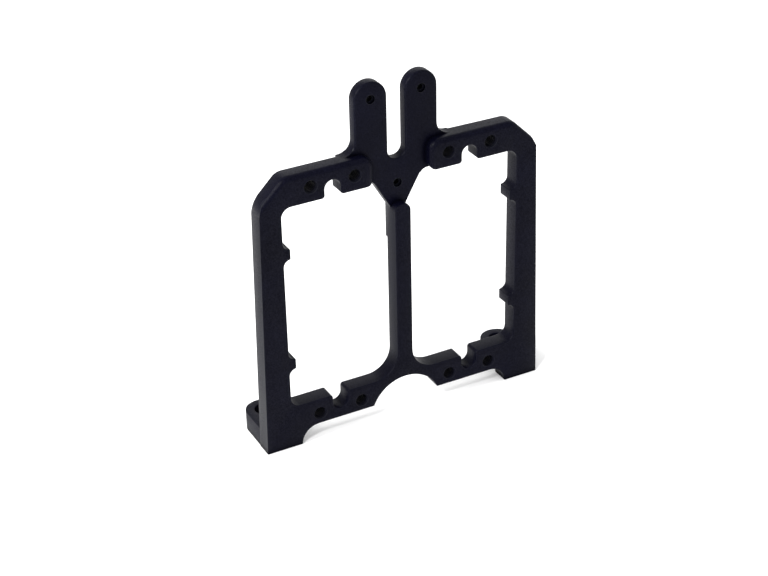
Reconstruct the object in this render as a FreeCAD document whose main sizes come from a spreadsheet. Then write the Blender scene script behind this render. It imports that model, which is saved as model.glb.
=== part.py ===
import FreeCAD, Part
import os
import math
import Sketcher

# Servo bracket: one piece milled from aluminium plate. Two windows side by side each take a
# wing servo, a forked tab stands up behind the middle of the top bar, and a round-ended lug
# runs back from each foot. X is across the bracket, -Y is its front face, and Z is up from
# the soles of the feet. The origin is on the sole, midway across and midway front to back.

doc = FreeCAD.newDocument("servo_bracket")

# Driving sizes in millimetres

SIZES = [
    ("plate_thickness", 3.1, "front face to back face of the frame"),
    ("pad_proud", 0.5, "how far the fork and its pad stand behind the frame"),
    ("fork_thickness", 1.85, "thickness of the forked tab"),
    ("servo_body_length", 35.5, "servo body between its two mounting ears"),
    ("servo_body_width", 15.0, "servo body from rib to post side"),
    ("servo_ear_reach", 3.0, "end of the servo body to its ear screws"),
    ("servo_hole_across", 7.7, "between the two ear screws of one end"),
    ("servo_middle", 12.25, "centre line to the middle of a servo"),
    ("servo_hole_dia", 2.05, "core hole of the M2.5 thread"),
    ("servo_end_gap", 0.375, "window clearance at each end of the servo body"),
    ("servo_side_gap", 0.2, "clearance between the servo body and the ribs"),
    ("bar_above_holes", 2.45, "upper ear screws to the top of the upper bars"),
    ("bar_below_holes", 2.0, "lower ear screws to the underside of the lower bars"),
    ("side_at_foot", 4.68, "width of a side at the sole, window wall to outer side"),
    ("side_at_shoulder", 3.7, "the same below the shoulder"),
    ("shoulder_run", 0.73, "how far the shoulder facet leans inward"),
    ("shoulder_rise", 1.7, "height of the shoulder facet"),
    ("cut_corner_run", 3.64, "width of the cut corner"),
    ("cut_corner_rise", 3.6, "height of the cut corner"),
    ("crown_round", 2.4, "blend from the cut corner to the top"),
    ("front_roundover", 0.9, "rounded front edge of the cut corners, bars and bar ends"),
    ("window_corner", 1.7, "outer corners of a window"),
    ("rib_depth", 1.22, "how far a locating rib stands into the window"),
    ("rib_length", 1.8, "length of its flat tip"),
    ("rib_pitch", 20.0, "between the two ribs of one wall"),
    ("post_half_width", 1.4, "half of the middle post"),
    ("post_drop", 4.55, "window top down to the rounded tip of the middle post"),
    ("post_tip_round", 1.3, "rounding of that tip"),
    ("post_root_round", 4.3, "blend from the middle post to the lower bars"),
    ("bar_end_margin", 3.35, "inner ear screws to the rounded end of an upper bar"),
    ("bar_end_upper_round", 1.8, "upper corner of that end"),
    ("bar_end_lower_round", 1.2, "lower corner of that end"),
    ("foot_width", 6.4, "width of a foot"),
    ("foot_relief", 3.05, "radius beside the foot, and height of the lower bars' underside"),
    ("arch_half_width", 6.05, "half of the arch under the middle post"),
    ("arch_rise", 4.04, "height of that arch above the underside"),
    ("notch_width", 2.8, "cable notch between two ear screws"),
    ("notch_depth", 2.85, "depth of the notch"),
    ("notch_mouth_round", 0.5, "corners of its mouth"),
    ("slot_half_width", 1.58, "half of the slot between the two ears"),
    ("slot_depth", 2.28, "top of the bars down to the round bottom of the slot"),
    ("ear_width", 5.75, "width of an ear"),
    ("ear_rise", 11.65, "top of the bars up to the tip of an ear"),
    ("ear_root_round", 2.3, "blend from the ear down to the upper bar"),
    ("fork_hole_dia", 1.55, "core hole of the M2 threads in the fork"),
    ("tail_hole_drop", 1.425, "window top down to the hole in the tab's tail"),
    ("tail_half_width", 4.55, "half width of the tail where it meets the bars"),
    ("tail_drop", 5.325, "window top down to where the tail runs into the middle post"),
    ("tail_round", 1.5, "blend from the tail to the bars"),
    ("pad_margin", 2.67, "raised pad behind the bars, beyond the outer side of an ear"),
    ("pad_drop", 11.425, "window top down to the lower end of the pad on the post"),
    ("lug_radius", 2.95, "round end of a rear lug, and half of its width"),
    ("lug_step", 0.1, "how far a lug sits in from the outer side"),
    ("lug_behind", 5.0, "back face to the middle of the lug's hole"),
    ("lug_height", 3.5, "thickness of a rear lug"),
    ("lug_hole_dia", 2.9, "clearance hole for M2.5 in the lug"),
]

sheet = doc.addObject("Spreadsheet::Sheet", "Sizes")
for row, (alias, size, note) in enumerate(SIZES, start=1):
    sheet.set("A%d" % row, note)
    sheet.set("B%d" % row, str(size))
    sheet.setAlias("B%d" % row, alias)
doc.recompute()


class Size:
    """A length together with the spreadsheet expression that drives it."""

    def __init__(self, number, text):
        self.number = float(number)
        self.text = text

    def __add__(self, other):
        other = as_size(other)
        return Size(self.number + other.number, "(%s + %s)" % (self.text, other.text))

    def __sub__(self, other):
        other = as_size(other)
        return Size(self.number - other.number, "(%s - %s)" % (self.text, other.text))

    def __mul__(self, factor):
        return Size(self.number * factor, "(%s * %g)" % (self.text, factor))

    def __neg__(self):
        return Size(-self.number, "(-%s)" % self.text)


def as_size(item):
    return item if isinstance(item, Size) else Size(item, "%g" % item)


def size(alias):
    return Size(sheet.get(alias), "Sizes." + alias)


def arch_radius(half_width, rise):
    """Radius of an arc from the half width of its chord and its rise."""
    w, h = half_width, rise
    return Size((w.number ** 2 + h.number ** 2) / (2 * h.number),
                "(%s * %s + %s * %s) / (2 * %s)" % (w.text, w.text, h.text, h.text, h.text))


# Front to back

thickness = size("plate_thickness")
fork_back = thickness + size("pad_proud")
fork_front = fork_back - size("fork_thickness")

# Heights, upward from the sole: the servo sets the screws and the window, the window sets
# the post and the tail, and the upper screws set the top of the bars and the ears on it

relief = size("foot_relief")
low_screws = relief + size("bar_below_holes")
body_bottom = low_screws + size("servo_ear_reach")
body_top = body_bottom + size("servo_body_length")
high_screws = body_top + size("servo_ear_reach")
window_bottom = body_bottom - size("servo_end_gap")
window_top = body_top + size("servo_end_gap")
rib_middle = body_bottom + size("servo_body_length") * 0.5
frame_height = high_screws + size("bar_above_holes")
cut_height = frame_height - size("cut_corner_rise")
shoulder_height = cut_height - size("shoulder_rise")
post_top = window_top - size("post_drop")

# Half widths, outward from the middle post

servo_middle = size("servo_middle")
half_across = size("servo_hole_across") * 0.5
bar_end = servo_middle - half_across - size("bar_end_margin")
post_half = size("post_half_width")
rib = size("rib_depth")
window_half = servo_middle + size("servo_body_width") * 0.5 + size("servo_side_gap") + rib
foot_half = window_half + size("side_at_foot")
foot_inner = foot_half - size("foot_width")
shoulder_half = window_half + size("side_at_shoulder")
cut_half = shoulder_half - size("shoulder_run")
crown_half = cut_half - size("cut_corner_run")
notch_half = size("notch_width") * 0.5
notch_depth = size("notch_depth")

body = doc.addObject("PartDesign::Body", "Bracket")
body.Label = "servo_bracket"


def origin_plane(role):
    return [item for item in body.Origin.OriginFeatures if item.Role == role][0]


def new_sketch(name, role, offset=None):
    sketch = body.newObject("Sketcher::SketchObject", name)
    sketch.AttachmentSupport = [(origin_plane(role), "")]
    sketch.MapMode = "FlatFace"
    if offset is not None:
        sketch.AttachmentOffset = FreeCAD.Placement(
            FreeCAD.Vector(0, 0, offset.number), FreeCAD.Rotation())
        sketch.setExpression("AttachmentOffset.Base.z", offset.text)
    return sketch


def bind(sketch, kind, arguments, target):
    index = sketch.addConstraint(Sketcher.Constraint(kind, *arguments, target.number))
    sketch.setExpression("Constraints[%d]" % index, target.text)


def arc_between(start, end, radius, bulge):
    """Circle arc from start to end; bulge +1 curves to the left of the chord, -1 to the right."""
    chord = end - start
    middle = (start + end) * 0.5
    half = chord.Length / 2
    rise = math.sqrt(max(radius * radius - half * half, 0.0))
    across = FreeCAD.Vector(-chord.y, chord.x, 0).normalize()
    centre = middle - across * rise * bulge
    return Part.Arc(start, centre + across * radius * bulge, end)


def outline(sketch, corners):
    """Closed outline. Each corner is (x, y) or (x, y, radius, bulge), where radius and bulge
    describe the arc that runs from this corner to the next one."""
    points = [FreeCAD.Vector(as_size(c[0]).number, as_size(c[1]).number, 0) for c in corners]
    edges = []
    for i, corner in enumerate(corners):
        start, end = points[i], points[(i + 1) % len(points)]
        if len(corner) == 2:
            edges.append((sketch.addGeometry(Part.LineSegment(start, end)), 1, 2, None, None))
            continue
        radius = as_size(corner[2])
        index = sketch.addGeometry(arc_between(start, end, radius.number, corner[3]))
        first = sketch.getPoint(index, 1)
        forward = first.distanceToPoint(start) < 1e-6
        half_circle = abs((end - start).Length - 2 * radius.number) < 1e-6
        level = as_size(corner[1]) if half_circle else None
        edges.append((index, 1 if forward else 2, 2 if forward else 1, radius, level))
    for i, edge in enumerate(edges):
        following = edges[(i + 1) % len(edges)]
        sketch.addConstraint(
            Sketcher.Constraint("Coincident", edge[0], edge[2], following[0], following[1]))
    for corner, edge in zip(corners, edges):
        bind(sketch, "DistanceX", (edge[0], edge[1]), as_size(corner[0]))
        bind(sketch, "DistanceY", (edge[0], edge[1]), as_size(corner[1]))
    for edge in edges:
        if edge[4] is not None:
            bind(sketch, "DistanceY", (edge[0], 3), edge[4])
        elif edge[3] is not None:
            bind(sketch, "Radius", (edge[0],), edge[3])


def circle(sketch, x, y, diameter):
    index = sketch.addGeometry(
        Part.Circle(FreeCAD.Vector(x.number, y.number, 0), FreeCAD.Vector(0, 0, 1),
                    diameter.number / 2))
    bind(sketch, "DistanceX", (index, 3), x)
    bind(sketch, "DistanceY", (index, 3), y)
    bind(sketch, "Diameter", (index,), diameter)


def mirrored_corners(right):
    """The corners of the right half followed by the same corners on the left, back to front."""
    left = []
    for i in range(len(right) - 1, -1, -1):
        corner = right[i]
        run = right[i - 1] if i > 0 else None
        if run is not None and len(run) == 4:
            left.append((-as_size(corner[0]), corner[1], run[2], run[3]))
        else:
            left.append((-as_size(corner[0]), corner[1]))
    return list(right) + left


def pad(name, sketch, length, reverse):
    feature = body.newObject("PartDesign::Pad", name)
    feature.Profile = sketch
    feature.Length = length.number
    feature.setExpression("Length", length.text)
    feature.Reversed = reverse
    doc.recompute()
    return feature


def pocket_through(name, sketch, reverse=False):
    """Cuts all the way through: towards the back from the front face, or up from the sole
    when reversed."""
    before = body.Shape.Volume
    feature = body.newObject("PartDesign::Pocket", name)
    feature.Profile = sketch
    feature.Type = "ThroughAll"
    feature.Reversed = reverse
    doc.recompute()
    if body.Shape.Volume > before - 0.5:
        raise RuntimeError(name + " cut nothing")
    return feature


def mirror(name, features):
    before = body.Shape.Volume
    feature = body.newObject("PartDesign::Mirrored", name)
    feature.Originals = features
    feature.MirrorPlane = (origin_plane("YZ_Plane"), [""])
    body.Tip = feature
    doc.recompute()
    if abs(body.Shape.Volume - before) < 0.5:
        raise RuntimeError(name + " changed nothing")
    return feature


def depth_edges(spots):
    """Names of the body's straight edges that run front to back at the given (x, z) spots."""
    names = []
    for index, edge in enumerate(body.Shape.Edges, start=1):
        if len(edge.Vertexes) != 2 or not isinstance(edge.Curve, Part.Line):
            continue
        a, b = edge.Vertexes[0].Point, edge.Vertexes[1].Point
        if abs(a.x - b.x) > 1e-4 or abs(a.z - b.z) > 1e-4:
            continue
        for x, z in spots:
            if abs(a.x - x.number) < 0.02 and abs(a.z - z.number) < 0.02:
                names.append("Edge%d" % index)
    return names


def both(x, z):
    return [(x, z), (-x, z)]


def round_edges(name, edge_names, radius, wanted=None):
    if wanted is not None and len(edge_names) != wanted:
        raise RuntimeError("%s found %d edges" % (name, len(edge_names)))
    previous = body.Tip
    feature = body.newObject("PartDesign::Fillet", name)
    feature.Base = (previous, edge_names)
    feature.Radius = radius.number
    feature.setExpression("Radius", radius.text)
    body.Tip = feature
    doc.recompute()
    if feature.Shape.isNull() or not feature.Shape.isValid():
        raise RuntimeError(name + " failed")
    return feature


def on_front(edge):
    box = edge.BoundBox
    return abs(box.YMin) < 1e-4 and abs(box.YMax) < 1e-4


def crown_edges():
    """Names of the front edges along the cut corners, the bars' tops and the bars' ends."""
    names = []
    for index, edge in enumerate(body.Shape.Edges, start=1):
        box = edge.BoundBox
        above = box.ZMin > cut_height.number - 0.01
        left_end = abs(box.XMin + bar_end.number) < 0.01 and box.XLength < 0.01
        right_end = abs(box.XMin - bar_end.number) < 0.01 and box.XLength < 0.01
        if on_front(edge) and (above or left_end or right_end):
            names.append("Edge%d" % index)
    return names


# Frame plate with its cut upper corners

outer = new_sketch("plate_outline", "XZ_Plane")
outline(outer, mirrored_corners([
    (foot_half, 0),
    (shoulder_half, shoulder_height),
    (cut_half, cut_height),
    (crown_half, frame_height),
]))
pad("plate", outer, thickness, True)
round_edges("crown_rounding", depth_edges(both(crown_half, frame_height)),
            size("crown_round"), 2)

# Gap between the upper bars, open above, with the tip of the middle post below it

gap = new_sketch("bar_gap_outline", "XZ_Plane")
outline(gap, [
    (-bar_end, post_top),
    (bar_end, post_top),
    (bar_end, frame_height + 2),
    (-bar_end, frame_height + 2),
])
pocket_through("bar_gap", gap)
round_edges("bar_end_upper", depth_edges(both(bar_end, frame_height)),
            size("bar_end_upper_round"), 2)
round_edges("front_roundover", crown_edges(), size("front_roundover"), 10)

# Underside: a quarter round beside each foot and one wide arch under the middle post

arch_half = size("arch_half_width")
underside = new_sketch("underside_outline", "XZ_Plane")
outline(underside, mirrored_corners([
    (arch_half, relief),
    (foot_inner - relief, relief, relief, 1),
    (foot_inner, 0),
    (foot_inner, -5),
])[:-1] + [(-arch_half, relief, arch_radius(arch_half, size("arch_rise")), 1)])
pocket_through("underside", underside)

# Window with two locating ribs on its outer wall

half_rib = size("rib_length") * 0.5
low_rib = rib_middle - size("rib_pitch") * 0.5
high_rib = rib_middle + size("rib_pitch") * 0.5
end_round = size("bar_end_lower_round")
window = new_sketch("window_outline", "XZ_Plane")
outline(window, [
    (post_half, window_bottom),
    (window_half, window_bottom),
    (window_half, low_rib - half_rib - rib, rib, -1),
    (window_half - rib, low_rib - half_rib),
    (window_half - rib, low_rib + half_rib, rib, -1),
    (window_half, low_rib + half_rib + rib),
    (window_half, high_rib - half_rib - rib, rib, -1),
    (window_half - rib, high_rib - half_rib),
    (window_half - rib, high_rib + half_rib, rib, -1),
    (window_half, high_rib + half_rib + rib),
    (window_half, window_top),
    (bar_end + end_round, window_top, end_round, 1),
    (bar_end, window_top + end_round),
    (post_half, window_top + end_round),
])
right_window = pocket_through("right_window", window)

# Cable notches between the servo ear screws

notches = new_sketch("notch_outline_upper", "XZ_Plane")
outline(notches, [
    (servo_middle - notch_half, window_top - 1),
    (servo_middle + notch_half, window_top - 1),
    (servo_middle + notch_half, window_top + notch_depth - notch_half, notch_half, -1),
    (servo_middle - notch_half, window_top + notch_depth - notch_half),
])
upper_notch = pocket_through("upper_notch", notches)
lower_notches = new_sketch("notch_outline_lower", "XZ_Plane")
outline(lower_notches, [
    (servo_middle + notch_half, window_bottom + 1),
    (servo_middle - notch_half, window_bottom + 1),
    (servo_middle - notch_half, window_bottom - notch_depth + notch_half, notch_half, -1),
    (servo_middle + notch_half, window_bottom - notch_depth + notch_half),
])
lower_notch = pocket_through("lower_notch", lower_notches)
mirror("left_window", [right_window, upper_notch, lower_notch])

# Rounded corners of windows, post and notches

round_edges("window_corners", depth_edges(
    both(window_half, window_bottom) + both(window_half, window_top)),
    size("window_corner"), 4)
round_edges("post_root", depth_edges(both(post_half, window_bottom)),
            size("post_root_round"), 2)
round_edges("post_tip", depth_edges(both(post_half, post_top)), size("post_tip_round"), 2)
mouths = []
for edge_height in (window_bottom, window_top):
    mouths += both(servo_middle - notch_half, edge_height)
    mouths += both(servo_middle + notch_half, edge_height)
round_edges("notch_mouths", depth_edges(mouths), size("notch_mouth_round"), 8)


# Forked tab: two round-ended ears, a tail that narrows onto the middle post, and the pad
# that stands slightly proud behind the upper bars

slot_half = size("slot_half_width")
ear_outer = slot_half + size("ear_width")
ear_radius = size("ear_width") * 0.5
ear_middle = slot_half + ear_radius
ear_shoulder = frame_height + size("ear_rise") - ear_radius
slot_shoulder = frame_height - size("slot_depth") + slot_half
tail_half = size("tail_half_width")
pad_half = ear_outer + size("pad_margin")
fork = new_sketch("fork_outline", "XZ_Plane", -fork_front)
outline(fork, mirrored_corners([
    (post_half, window_top - size("pad_drop")),
    (post_half, window_top - size("tail_drop")),
    (tail_half, window_top),
    (pad_half, window_top),
    (pad_half, frame_height),
    (ear_outer, frame_height),
    (ear_outer, ear_shoulder, ear_radius, -1),
    (slot_half, ear_shoulder),
    (slot_half, slot_shoulder, slot_half, 1),
]))
pad("fork", fork, size("fork_thickness"), True)
round_edges("ear_root", depth_edges(both(ear_outer, frame_height)),
            size("ear_root_round"), 2)
round_edges("tail_blend", depth_edges(both(tail_half, window_top)),
            size("tail_round"), 2)

# Servo ear screw holes, the two ear holes and the hole in the tail

servo_holes = new_sketch("servo_hole_circles", "XZ_Plane")
for x in (servo_middle - half_across, servo_middle + half_across):
    for z in (low_screws, high_screws):
        circle(servo_holes, x, z, size("servo_hole_dia"))
right_holes = pocket_through("right_servo_holes", servo_holes)
mirror("left_servo_holes", [right_holes])

fork_holes = new_sketch("fork_hole_circles", "XZ_Plane")
circle(fork_holes, ear_middle, ear_shoulder, size("fork_hole_dia"))
circle(fork_holes, -ear_middle, ear_shoulder, size("fork_hole_dia"))
circle(fork_holes, as_size(0), window_top - size("tail_hole_drop"), size("fork_hole_dia"))
pocket_through("fork_holes", fork_holes)

# Rear lugs, flush with the outer sides, each with an upright hole

lug_radius = size("lug_radius")
lug_middle = foot_half - lug_radius - size("lug_step")
lug_reach = thickness + size("lug_behind")
lug = new_sketch("lug_outline", "XY_Plane")
outline(lug, [
    (lug_middle - lug_radius, 1),
    (lug_middle + lug_radius, 1),
    (lug_middle + lug_radius, lug_reach, lug_radius, -1),
    (lug_middle - lug_radius, lug_reach),
])
right_lug = pad("right_lug", lug, size("lug_height"), False)
lug_hole = new_sketch("lug_hole_circle", "XY_Plane")
circle(lug_hole, lug_middle, lug_reach, size("lug_hole_dia"))
right_lug_hole = pocket_through("right_lug_hole", lug_hole, True)
mirror("left_lug", [right_lug, right_lug_hole])

# The outlines start from the front face; the finished piece is centred front to back

half_depth = (lug_reach + lug_radius) * 0.5
body.Placement = FreeCAD.Placement(FreeCAD.Vector(0, -half_depth.number, 0), FreeCAD.Rotation())
body.setExpression("Placement.Base.y", (-half_depth).text)
doc.recompute()

for item in doc.Objects:
    if "Invalid" in item.State or "Error" in item.State:
        raise RuntimeError("%s is %s" % (item.Name, item.State))
shape = body.Shape
if shape.isNull() or not shape.isValid() or len(shape.Solids) != 1:
    raise RuntimeError("the bracket is not one valid solid")

box = shape.BoundBox
print("volume %.2f mm3" % shape.Volume)
print("box X %.2f..%.2f Y %.2f..%.2f Z %.2f..%.2f"
      % (box.XMin, box.XMax, box.YMin, box.YMax, box.ZMin, box.ZMax))

os.makedirs("parts", exist_ok=True)
shape.exportStep("parts/servo_bracket.step")
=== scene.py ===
import math

import bmesh
import bpy
from mathutils import Matrix, Vector
from mathutils.geometry import delaunay_2d_cdt


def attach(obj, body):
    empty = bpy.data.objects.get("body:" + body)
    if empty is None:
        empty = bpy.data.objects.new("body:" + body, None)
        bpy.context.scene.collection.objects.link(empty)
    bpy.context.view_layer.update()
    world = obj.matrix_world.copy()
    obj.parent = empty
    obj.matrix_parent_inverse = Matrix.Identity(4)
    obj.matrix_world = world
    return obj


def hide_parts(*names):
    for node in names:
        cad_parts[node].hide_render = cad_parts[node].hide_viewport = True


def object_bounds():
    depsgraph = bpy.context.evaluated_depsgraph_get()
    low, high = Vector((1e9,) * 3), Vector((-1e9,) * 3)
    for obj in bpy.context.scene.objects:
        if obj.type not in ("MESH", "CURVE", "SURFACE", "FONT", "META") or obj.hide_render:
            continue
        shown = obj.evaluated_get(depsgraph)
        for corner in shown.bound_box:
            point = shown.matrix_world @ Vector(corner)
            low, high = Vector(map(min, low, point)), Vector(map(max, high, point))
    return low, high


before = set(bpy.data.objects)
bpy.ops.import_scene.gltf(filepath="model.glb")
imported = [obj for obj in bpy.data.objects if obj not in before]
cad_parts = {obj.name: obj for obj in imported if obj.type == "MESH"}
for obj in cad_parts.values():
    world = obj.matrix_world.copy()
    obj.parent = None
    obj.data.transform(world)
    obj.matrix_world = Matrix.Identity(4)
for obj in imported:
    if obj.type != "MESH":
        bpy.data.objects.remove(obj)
cad_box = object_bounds()

# Camera, fitted to the bracket's own edges and holes in the photograph. Place and clip are in
# metres, lens and sensor in millimetres.

CAMERA_PLACE = Vector((-0.11999, -0.22783, 0.16872))
CAMERA_AZIMUTH = math.radians(27.60)
CAMERA_ELEVATION = math.radians(29.78)
CAMERA_ROLL = math.radians(-1.304)
CAMERA_LENS = 83.78
SENSOR_WIDTH = 36.0
NEAR_CLIP = 0.01


def camera_axes():
    """The camera's right, up and backward directions."""
    across = math.cos(CAMERA_ELEVATION)
    ahead = Vector((math.sin(CAMERA_AZIMUTH) * across, math.cos(CAMERA_AZIMUTH) * across,
                    -math.sin(CAMERA_ELEVATION)))
    level = Vector((math.cos(CAMERA_AZIMUTH), -math.sin(CAMERA_AZIMUTH), 0.0))
    upright = level.cross(ahead)
    right = level * math.cos(CAMERA_ROLL) + upright * math.sin(CAMERA_ROLL)
    up = upright * math.cos(CAMERA_ROLL) - level * math.sin(CAMERA_ROLL)
    return right, up, -ahead


def add_camera():
    lens = bpy.data.cameras.new("camera")
    lens.sensor_fit = "HORIZONTAL"
    lens.sensor_width = SENSOR_WIDTH
    lens.lens = CAMERA_LENS
    lens.clip_start = NEAR_CLIP
    camera = bpy.data.objects.new("camera", lens)
    turn = Matrix(camera_axes()).transposed().to_4x4()
    camera.matrix_world = Matrix.Translation(CAMERA_PLACE) @ turn
    bpy.context.collection.objects.link(camera)
    bpy.context.scene.camera = camera


# Black anodised aluminium, bead-blasted: a fine even grain, faint clouding of the dye, painted
# shade that darkens the colour and the reflection in recesses and holes, and open edges where the
# coat is a little thinner. Reaches and depths are in metres.

NOISE_ROUGHNESS = 0.6
CLOUD_SCALE, CLOUD_DETAIL = 140.0, 3.0
GRAIN_SCALE, GRAIN_DETAIL = 6400.0, 2.0
DYE = ((0.3, (0.0012, 0.0012, 0.0044, 1)), (0.75, (0.0022, 0.0023, 0.0076, 1)))
FLECK = ((0.35, (0.60, 0.60, 0.64, 1)), (0.72, (1.50, 1.50, 1.52, 1)))
# Painted shade in recesses: how far the occlusion looks, its samples, and its range
SHADE_REACH, SHADE_SAMPLES = 0.0016, 8
UNSHADED_FROM, UNSHADED_TO = (0.35, 0.88), (0.10, 1.0)
EDGE_REACH, EDGE_SAMPLES = 0.00010, 6
WEAR_FROM, WEAR_TO = (0.995, 0.86), (0.0, 1.0)
GLINT_FROM, GLINT_TO = (0.35, 0.70), (0.026, 0.080)
SHEEN_FROM, SHEEN_TO = (0.0, 1.0), (0.33, 0.45)
THIN_COAT = (0.006, 0.0075, 0.012, 1)
# Painted shade: the colour given to recesses and holes
PAINTED_SHADE_COLOR = (0.0008, 0.0008, 0.0016, 1)
RUBBED_GLINT = 0.22
RUBBED_ROUGHNESS = 0.22
BLAST_STRENGTH, BLAST_DEPTH = 0.35, 0.00001


def node(tree, kind, entries, **settings):
    """A node with its settings, and with each input either linked or given a value."""
    made = tree.nodes.new(kind)
    for name, value in settings.items():
        setattr(made, name, value)
    for name, value in entries.items():
        if isinstance(value, bpy.types.NodeSocket):
            tree.links.new(value, made.inputs[name])
        else:
            made.inputs[name].default_value = value
    return made


def noise(tree, place, scale, detail):
    entries = {"Vector": place, "Scale": scale, "Detail": detail, "Roughness": NOISE_ROUGHNESS}
    return node(tree, "ShaderNodeTexNoise", entries).outputs["Fac"]


def ramp(tree, value, stops):
    made = node(tree, "ShaderNodeValToRGB", {"Fac": value})
    for element, (position, color) in zip(made.color_ramp.elements, stops):
        element.position = position
        element.color = color
    return made.outputs["Color"]


def ranged(tree, value, source, target):
    """The value moved from the source range into the target range, and kept within it."""
    entries = {"Value": value, "From Min": source[0], "From Max": source[1],
               "To Min": target[0], "To Max": target[1]}
    return node(tree, "ShaderNodeMapRange", entries).outputs["Result"]


def product(tree, first, second):
    entries = {0: first, 1: second}
    return node(tree, "ShaderNodeMath", entries, operation="MULTIPLY").outputs["Value"]


def mixed(tree, factor, first, second, **settings):
    entries = {"Factor": factor, "A": first, "B": second}
    return node(tree, "ShaderNodeMix", entries, **settings).outputs["Result"]


def anodised():
    material = bpy.data.materials.new("black_anodised")
    material.use_nodes = True
    tree = material.node_tree
    tree.nodes.clear()

    place = node(tree, "ShaderNodeTexCoord", {}).outputs["Object"]
    clouds = noise(tree, place, CLOUD_SCALE, CLOUD_DETAIL)
    grain = noise(tree, place, GRAIN_SCALE, GRAIN_DETAIL)
    coat = mixed(tree, 1.0, ramp(tree, clouds, DYE), ramp(tree, grain, FLECK),
                 data_type="RGBA", blend_type="MULTIPLY")

    # Painted shade: recesses and holes, found by ambient occlusion, get a darker colour and a
    # weaker reflection than the open faces
    shade_probe = node(tree, "ShaderNodeAmbientOcclusion", {"Distance": SHADE_REACH},
                   samples=SHADE_SAMPLES)
    unshaded_share = ranged(tree, shade_probe.outputs["AO"], UNSHADED_FROM, UNSHADED_TO)

    # Open edges, found by how far a rounded normal leaves the face's own
    rounded = node(tree, "ShaderNodeBevel", {"Radius": EDGE_REACH}, samples=EDGE_SAMPLES)
    flat = node(tree, "ShaderNodeNewGeometry", {})
    spread = node(tree, "ShaderNodeVectorMath",
                  {0: rounded.outputs["Normal"], 1: flat.outputs["True Normal"]},
                  operation="DOT_PRODUCT")
    wear = ranged(tree, spread.outputs["Value"], WEAR_FROM, WEAR_TO)
    edge = product(tree, wear, unshaded_share)

    thinner = mixed(tree, edge, coat, THIN_COAT, data_type="RGBA")
    # Painted shade: the colour goes over to the recess colour where occlusion is high
    colour = mixed(tree, unshaded_share, PAINTED_SHADE_COLOR, thinner, data_type="RGBA")
    glint = mixed(tree, edge, ranged(tree, grain, GLINT_FROM, GLINT_TO), RUBBED_GLINT)
    sheen = mixed(tree, edge, ranged(tree, clouds, SHEEN_FROM, SHEEN_TO), RUBBED_ROUGHNESS)
    blast = node(tree, "ShaderNodeBump", {"Strength": BLAST_STRENGTH, "Distance": BLAST_DEPTH,
                                          "Height": grain})
    # Painted shade: the reflection is weakened in recesses and holes as well
    shader = node(tree, "ShaderNodeBsdfPrincipled",
                  {"Metallic": 0.0, "IOR": 1.5, "Base Color": colour, "Roughness": sheen,
                   "Specular IOR Level": product(tree, glint, unshaded_share),
                   "Normal": blast.outputs["Normal"]})
    node(tree, "ShaderNodeOutputMaterial", {"Surface": shader.outputs["BSDF"]})
    return material


# Dressed bracket: the CAD mesh with its flat faces joined up, broken edges, rounded shoulders,
# sleeves in the fork's holes and cut threads. Lengths are in millimetres, along the frame's axes.

MM = 0.001
FRONT, BACK = -5.525, -2.425
FORK_FRONT, FORK_BACK = -3.775, -1.925
BARS_TOP = 49.0

# Half width and height of the corners at the small facets, and their rounding
SHOULDER = [(24.87, 43.7), (24.14, 45.4)]
SHOULDER_ROUND, SHOULDER_STEPS = 0.85, 4

# Centres of the holes as x and z, or x and y for the lugs, and their radii
SERVO_SCREWS = [(side * x, z) for side in (-1, 1) for x in (8.4, 16.1) for z in (5.05, 46.55)]
FORK_SCREWS = [(-4.455, 57.775), (4.455, 57.775), (0.0, 42.5)]
LUG_HOLES = [(-22.8, 2.575), (22.8, 2.575)]
SERVO_CORE, FORK_HOLE, LUG_HOLE = 1.025, 0.775, 1.45
RIMS = ((SERVO_SCREWS, SERVO_CORE, (0, 2)), (FORK_SCREWS, FORK_HOLE, (0, 2)),
        (LUG_HOLES, LUG_HOLE, (0, 1)))

# Widths of the broken edges: the ears and the slot, the tail, the front face and the holes in
# it, the outer sides, and all others. The bevel's width is what the weights are shares of.
FORK_BREAK, TAIL_BREAK, FRONT_BREAK, SIDE_BREAK, OTHER_BREAK = 0.32, 0.18, 0.16, 0.07, 0.14
BEVEL_WIDTH, BEVEL_STEPS = 0.40, 3
BREAK_ANGLE = math.radians(35)

# Where those edges lie: half widths, heights and depths
BROKEN_RIMS_FROM, BROKEN_RIMS_TOP = 2.0, 47.0
LUGS_FROM, LUGS_TOP = 19.0, 4.0
FACETS_FROM, FACETS_FOOT, FACETS_TOP, FACETS_BACK = 22.0, 43.2, 47.2, -4.3
EARS_FOOT, SLOT_HALF, SLOT_FOOT = BARS_TOP + 0.9, 1.7, 46.0
TAIL_FOOT, TAIL_TOP = 39.6, 43.3
EAR_ROOTS_HALF, EAR_ROOTS_SLACK = 10.2, 0.3
SIDES_FROM, SIDES_TOP = 24.0, 43.8

# Threads as core radius, outer radius and pitch. The servo threads run out past the faces, and
# the fork's start and end inside the tab. The cutter's inner edge lies a little inside the core.
FORK_CREST = 0.50
SERVO_THREAD = (SERVO_CORE, 1.25, 0.45)
FORK_THREAD = (FORK_CREST, 0.66, 0.35)
SERVO_RUN_OUT = 0.45
FORK_THREAD_FRONT, FORK_THREAD_BACK = FORK_FRONT + 0.80, FORK_BACK - 0.40
THREAD_SINK = 0.03
THREAD_FLANK = math.radians(30)
THREAD_STEPS = 28

# The sleeve in a fork hole as radius and depth around its section: it is sunk a little into
# the hole's wall, and starts with a lead-in cone
SLEEVE_WALL, SLEEVE_MOUTH, SLEEVE_STEPS = 0.83, 0.765, 36
SLEEVE = [(SLEEVE_WALL, FORK_FRONT + 0.38), (SLEEVE_MOUTH, FORK_FRONT + 0.38),
          (FORK_CREST, FORK_FRONT + 0.48), (FORK_CREST, FORK_BACK - 0.02),
          (SLEEVE_WALL, FORK_BACK - 0.02)]

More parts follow.
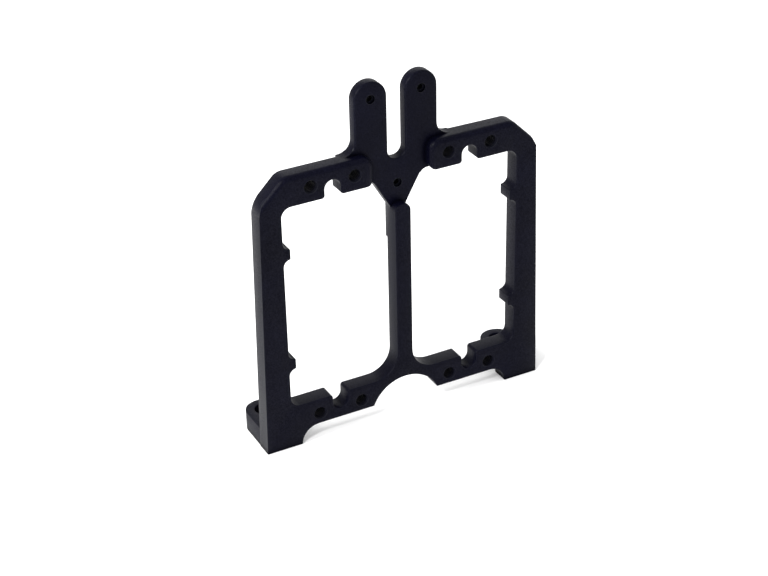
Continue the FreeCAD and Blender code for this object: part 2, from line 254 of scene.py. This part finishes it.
# Tolerances in millimetres, and the angles
RIM_SLACK, DEPTH_SLACK, FILL_SLACK = 0.03, 0.05, 1e-7
JOIN_ANGLE, SMOOTH_ANGLE = math.radians(0.6), math.radians(38)

# Tolerances in metres and square metres, the cosine that counts as parallel, and the number of
# corners above which a flat face is filled anew
WELD, SEAM_WELD, SLIVER = 1e-6, 2e-6, 2e-7
PLANE_SLACK, SHADE_SLACK = 2e-7, 4e-6
NO_AREA, SMALL_AREA, FLAT_AREA = 1e-13, 0.01 * MM * MM, 2.5 * MM * MM
PARALLEL = 0.99999
REFILL_ABOVE = 16


def near(value, target, slack=0.02):
    return abs(value - target) < slack


def on_rim(points):
    """Whether an edge belongs to a screw hole's or lug hole's rim."""
    for centres, radius, (u, v) in RIMS:
        for centre in centres:
            if all(near(math.hypot(p[u] - centre[0], p[v] - centre[1]), radius, RIM_SLACK)
                   for p in points):
                return True
    return False


def on_shoulder(edge):
    """Whether an edge is a corner line of one of the small facets below the cut corners."""
    points = [vert.co / MM for vert in edge.verts]
    return any(all(near(abs(p.x), x) and near(p.z, z) for p in points) for x, z in SHOULDER)


def edge_break(edge):
    """Width in millimetres of the broken edge, 0 for one that stays as it is."""
    if edge.calc_face_angle(0.0) < BREAK_ANGLE:
        return 0.0
    points = [vert.co / MM for vert in edge.verts]
    middle = (points[0] + points[1]) / 2
    side, depth, height = abs(middle.x), middle.y, middle.z
    if on_rim(points):
        broken = height < BROKEN_RIMS_TOP and side > BROKEN_RIMS_FROM
        return FRONT_BREAK if broken else 0.0
    # Too tight to break: the lugs' roots, and the front of the small facets
    if side > LUGS_FROM and height < LUGS_TOP and near(depth, BACK, DEPTH_SLACK):
        return 0.0
    if side > FACETS_FROM and FACETS_FOOT < height < FACETS_TOP and depth < FACETS_BACK:
        return 0.0
    if all(near(p.y, FORK_FRONT) for p in points):
        if height > EARS_FOOT or side < SLOT_HALF and height > SLOT_FOOT:
            return FORK_BREAK
        return TAIL_BREAK if edge.is_convex and TAIL_FOOT < height < TAIL_TOP else 0.0
    # The ears' roots behind the bars' tops are blends, and stay as they are
    at_bars_top = near(height, BARS_TOP, EAR_ROOTS_SLACK)
    if side < EAR_ROOTS_HALF and at_bars_top and depth > FORK_FRONT - DEPTH_SLACK:
        return 0.0
    if side > SIDES_FROM and height < SIDES_TOP:
        return SIDE_BREAK
    if all(near(p.y, FRONT) for p in points):
        return FRONT_BREAK
    return OTHER_BREAK


def joined_mesh(source):
    """The CAD mesh with its triangles joined into flat faces, and break widths as weights."""
    mesh = bpy.data.meshes.new("bracket")
    work = bmesh.new()
    work.from_mesh(source)
    bmesh.ops.remove_doubles(work, verts=work.verts, dist=WELD)
    bmesh.ops.dissolve_limit(work, angle_limit=JOIN_ANGLE, verts=work.verts, edges=work.edges)
    shoulders = [edge for edge in work.edges if on_shoulder(edge)]
    bmesh.ops.bevel(work, geom=shoulders, offset=SHOULDER_ROUND * MM, offset_type="OFFSET",
                    segments=SHOULDER_STEPS, profile=0.5, affect="EDGES", clamp_overlap=False)
    bmesh.ops.remove_doubles(work, verts=work.verts, dist=WELD)
    weights = work.edges.layers.float.new("bevel_weight_edge")
    for edge in work.edges:
        edge[weights] = edge_break(edge) / BEVEL_WIDTH
    work.to_mesh(mesh)
    work.free()
    return mesh


def flat_region(start, slack):
    """The faces that lie in one plane with the given face and join up with it, in order."""
    region, known = [start], {start}
    for face in region:
        for edge in face.edges:
            for other in edge.link_faces:
                if other in known or other.calc_area() < NO_AREA:
                    continue
                offset = (other.calc_center_median() - start.verts[0].co).dot(start.normal)
                if other.normal.dot(start.normal) > PARALLEL and abs(offset) < slack:
                    region.append(other)
                    known.add(other)
    return region


def inside(point, walls):
    """Even-odd test of a plane point against the region's outline edges."""
    crossings = 0
    for a, b in walls:
        if (a[1] > point[1]) != (b[1] > point[1]):
            at = a[0] + (point[1] - a[1]) / (b[1] - a[1]) * (b[0] - a[0])
            crossings += at > point[0]
    return crossings % 2 == 1


def refill(work, region):
    """Triangulates a flat region anew between its outlines, holes included."""
    normal = max(region, key=lambda face: face.calc_area()).normal.copy()
    across = normal.orthogonal().normalized()
    upward = normal.cross(across)
    members = set(region)
    edges = list(dict.fromkeys(edge for face in region for edge in face.edges))
    outline = [e for e in edges if sum(face in members for face in e.link_faces) == 1]
    inner = [e for e in edges if all(face in members for face in e.link_faces)]
    verts = list(dict.fromkeys(vert for edge in outline for vert in edge.verts))
    place = {vert: i for i, vert in enumerate(verts)}
    flat = [Vector((vert.co.dot(across), vert.co.dot(upward))) / MM for vert in verts]
    pairs = [(place[edge.verts[0]], place[edge.verts[1]]) for edge in outline]
    walls = [(flat[i], flat[j]) for i, j in pairs]
    made, _, triangles, origins, _, _ = delaunay_2d_cdt(flat, pairs, [], 0, FILL_SLACK)
    bmesh.ops.delete(work, geom=region, context="FACES_ONLY")
    bmesh.ops.delete(work, geom=inner, context="EDGES")
    level = verts[0].co.dot(normal)
    corner = []
    for spot, origin in zip(made, origins):
        if origin:
            corner.append(verts[origin[0]])
        else:
            corner.append(work.verts.new((across * spot[0] + upward * spot[1]) * MM
                                         + normal * level))
    for a, b, c in triangles:
        if inside((made[a] + made[b] + made[c]) / 3, walls):
            work.faces.new((corner[a], corner[b], corner[c]))


def refill_flats(mesh):
    """Triangulates the big flat faces, and closes what the bevels leave open."""
    work = bmesh.new()
    work.from_mesh(mesh)
    while True:
        wide = [face for face in work.faces if len(face.verts) > REFILL_ABOVE]
        if not wide:
            break
        refill(work, flat_region(wide[0], PLANE_SLACK))
    bmesh.ops.remove_doubles(work, verts=work.verts, dist=SEAM_WELD)
    bmesh.ops.dissolve_degenerate(work, dist=WELD, edges=work.edges)
    rims = [edge for edge in work.edges if len(edge.link_faces) == 1]
    bmesh.ops.holes_fill(work, edges=rims, sides=0)
    bmesh.ops.triangulate(work, faces=[face for face in work.faces if len(face.verts) > 4])
    bmesh.ops.recalc_face_normals(work, faces=work.faces)
    work.to_mesh(mesh)
    work.free()


def closed_object(name, verts, faces):
    """An object with its normals turned outward."""
    mesh = bpy.data.meshes.new(name)
    mesh.from_pydata(verts, [], faces)
    work = bmesh.new()
    work.from_mesh(mesh)
    bmesh.ops.recalc_face_normals(work, faces=work.faces)
    work.to_mesh(mesh)
    work.free()
    made = bpy.data.objects.new(name, mesh)
    bpy.context.collection.objects.link(made)
    return made


def around(x, z, radius, y, angle):
    """A point around the axis along Y through (x, z), in metres."""
    return ((x + radius * math.cos(angle)) * MM, y * MM, (z + radius * math.sin(angle)) * MM)


def band(old, new, count):
    """Faces between two rings of so many points, which start at the given numbers."""
    return [(old + k, old + (k + 1) % count, new + (k + 1) % count, new + k)
            for k in range(count)]


def thread_cutter(name, centre, start, end, thread):
    """A closed helical wedge that cuts a right-hand thread along Y around the centre. At the
    core it is 7/8 of the pitch wide, as in a metric thread."""
    core, major, pitch = thread
    inner = core - THREAD_SINK
    half = 0.5 * (pitch * 7 / 8 + 2 * THREAD_SINK * math.tan(THREAD_FLANK))
    count = int((end - start) / pitch * THREAD_STEPS)
    verts, faces = [], []
    for i in range(count + 1):
        angle = -2 * math.pi * i / THREAD_STEPS
        middle = start + pitch * i / THREAD_STEPS
        for radius, y in ((inner, middle - half), (major, middle), (inner, middle + half)):
            verts.append(around(*centre, radius, y, angle))
        if i:
            faces += band(3 * (i - 1), 3 * i, 3)
    faces.append((0, 2, 1))
    faces.append((3 * count, 3 * count + 1, 3 * count + 2))
    return closed_object(name, verts, faces)


def lead_in_sleeve(name, centre):
    """A ring inside a fork hole: a lead-in cone at the front, then the thread's crest width."""
    count = len(SLEEVE)
    verts, faces = [], []
    for i in range(SLEEVE_STEPS):
        angle = 2 * math.pi * i / SLEEVE_STEPS
        verts += [around(*centre, radius, y, angle) for radius, y in SLEEVE]
        faces += band(i * count, (i + 1) % SLEEVE_STEPS * count, count)
    return closed_object(name, verts, faces)


def settled(piece):
    """Swaps the piece's mesh for what its modifiers make of it."""
    graph = bpy.context.evaluated_depsgraph_get()
    graph.update()
    mesh = bpy.data.meshes.new_from_object(piece.evaluated_get(graph))
    piece.modifiers.clear()
    piece.data = mesh


def break_edges(piece):
    breaks = piece.modifiers.new("edge_breaks", "BEVEL")
    breaks.width = BEVEL_WIDTH * MM
    breaks.segments = BEVEL_STEPS
    breaks.limit_method = "WEIGHT"
    breaks.use_clamp_overlap = False
    breaks.loop_slide = False
    breaks.miter_outer = "MITER_SHARP"
    settled(piece)
    refill_flats(piece.data)


def dress_holes(piece):
    """Adds the sleeves in the fork's holes, then cuts all threads."""
    sleeves = [lead_in_sleeve("sleeve_%d" % i, centre) for i, centre in enumerate(FORK_SCREWS)]
    threads = [thread_cutter("thread_%d" % i, centre, FRONT - SERVO_RUN_OUT,
                             BACK + SERVO_RUN_OUT, SERVO_THREAD)
               for i, centre in enumerate(SERVO_SCREWS)]
    threads += [thread_cutter("fork_thread_%d" % i, centre, FORK_THREAD_FRONT,
                              FORK_THREAD_BACK, FORK_THREAD)
                for i, centre in enumerate(FORK_SCREWS)]
    for tools, operation in ((sleeves, "UNION"), (threads, "DIFFERENCE")):
        for tool in tools:
            cut = piece.modifiers.new(tool.name, "BOOLEAN")
            cut.operation = operation
            cut.solver = "MANIFOLD"
            cut.object = tool
    settled(piece)
    for tool in sleeves + threads:
        bpy.data.objects.remove(tool)


def shade(mesh):
    """Smooth shading on rounds, blends and threads; flat faces stay flat."""
    work = bmesh.new()
    work.from_mesh(mesh)
    bmesh.ops.dissolve_degenerate(work, dist=SLIVER, edges=work.edges)
    for face in work.faces:
        face.smooth = True
    seen = set()
    for face in work.faces:
        if face in seen or face.calc_area() < SMALL_AREA:
            continue
        region = flat_region(face, SHADE_SLACK)
        seen.update(region)
        if sum(part.calc_area() for part in region) > FLAT_AREA:
            for part in region:
                part.smooth = False
    work.to_mesh(mesh)
    work.free()
    # The CAD mesh brings its own normals along, which would hide the shading set here
    for name in ("custom_normal", "sharp_edge"):
        if name in mesh.attributes:
            mesh.attributes.remove(mesh.attributes[name])
    mesh.set_sharp_from_angle(angle=SMOOTH_ANGLE)


def add_bracket():
    piece = bpy.data.objects.new("bracket", joined_mesh(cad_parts["servo_bracket"].data))
    bpy.context.collection.objects.link(piece)
    break_edges(piece)
    dress_holes(piece)
    shade(piece.data)
    piece.data.materials.clear()
    piece.data.materials.append(anodised())
    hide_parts("servo_bracket")
    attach(piece, "root")


# Studio: a pale floor under a white world, a broad light above and behind, a smaller one on the
# left, and a very small one in front on the left for the glints. Lengths are in metres, powers
# in watts.

FLOOR_HALF = 3.0
FLOOR_COLOR = (0.98, 0.98, 0.98, 1)
FLOOR_ROUGHNESS, FLOOR_GLINT = 0.85, 0.1
WORLD_COLOR, WORLD_STRENGTH = (1.0, 1.0, 1.0, 1), 1.0
LIGHTS_AIM = Vector((0, 0, 0.03))
LIGHTS = (("back_light", (0.35, 0.67, 0.48), (0.8, 0.6), 1.6),
          ("left_light", (-0.60, 0.02, 0.40), (0.3, 0.3), 4.6),
          ("glint_light", (-0.44, -0.31, 0.52), (0.07, 0.07), 2.6))


def add_floor():
    mesh = bpy.data.meshes.new("floor")
    half = FLOOR_HALF
    mesh.from_pydata([(-half, -half, 0), (half, -half, 0), (half, half, 0), (-half, half, 0)],
                     [], [(0, 1, 2, 3)])
    floor = bpy.data.objects.new("floor", mesh)
    floor.location.z = cad_box[0][2]
    material = bpy.data.materials.new("floor")
    material.use_nodes = True
    shader = material.node_tree.nodes["Principled BSDF"]
    shader.inputs["Base Color"].default_value = FLOOR_COLOR
    shader.inputs["Roughness"].default_value = FLOOR_ROUGHNESS
    shader.inputs["Specular IOR Level"].default_value = FLOOR_GLINT
    mesh.materials.append(material)
    bpy.context.collection.objects.link(floor)


def add_light(name, place, size, power):
    """A rectangular light, turned to the bracket's middle."""
    light = bpy.data.lights.new(name, "AREA")
    light.shape = "RECTANGLE"
    light.size, light.size_y = size
    light.energy = power
    lamp = bpy.data.objects.new(name, light)
    lamp.location = place
    lamp.rotation_euler = (LIGHTS_AIM - Vector(place)).to_track_quat("-Z", "Y").to_euler()
    bpy.context.collection.objects.link(lamp)


def add_world():
    world = bpy.data.worlds.new("studio")
    bpy.context.scene.world = world
    world.use_nodes = True
    background = world.node_tree.nodes["Background"]
    background.inputs["Color"].default_value = WORLD_COLOR
    background.inputs["Strength"].default_value = WORLD_STRENGTH


add_bracket()
add_camera()
add_floor()
add_world()
for light in LIGHTS:
    add_light(*light)
bpy.context.scene.view_settings.view_transform = "Standard"
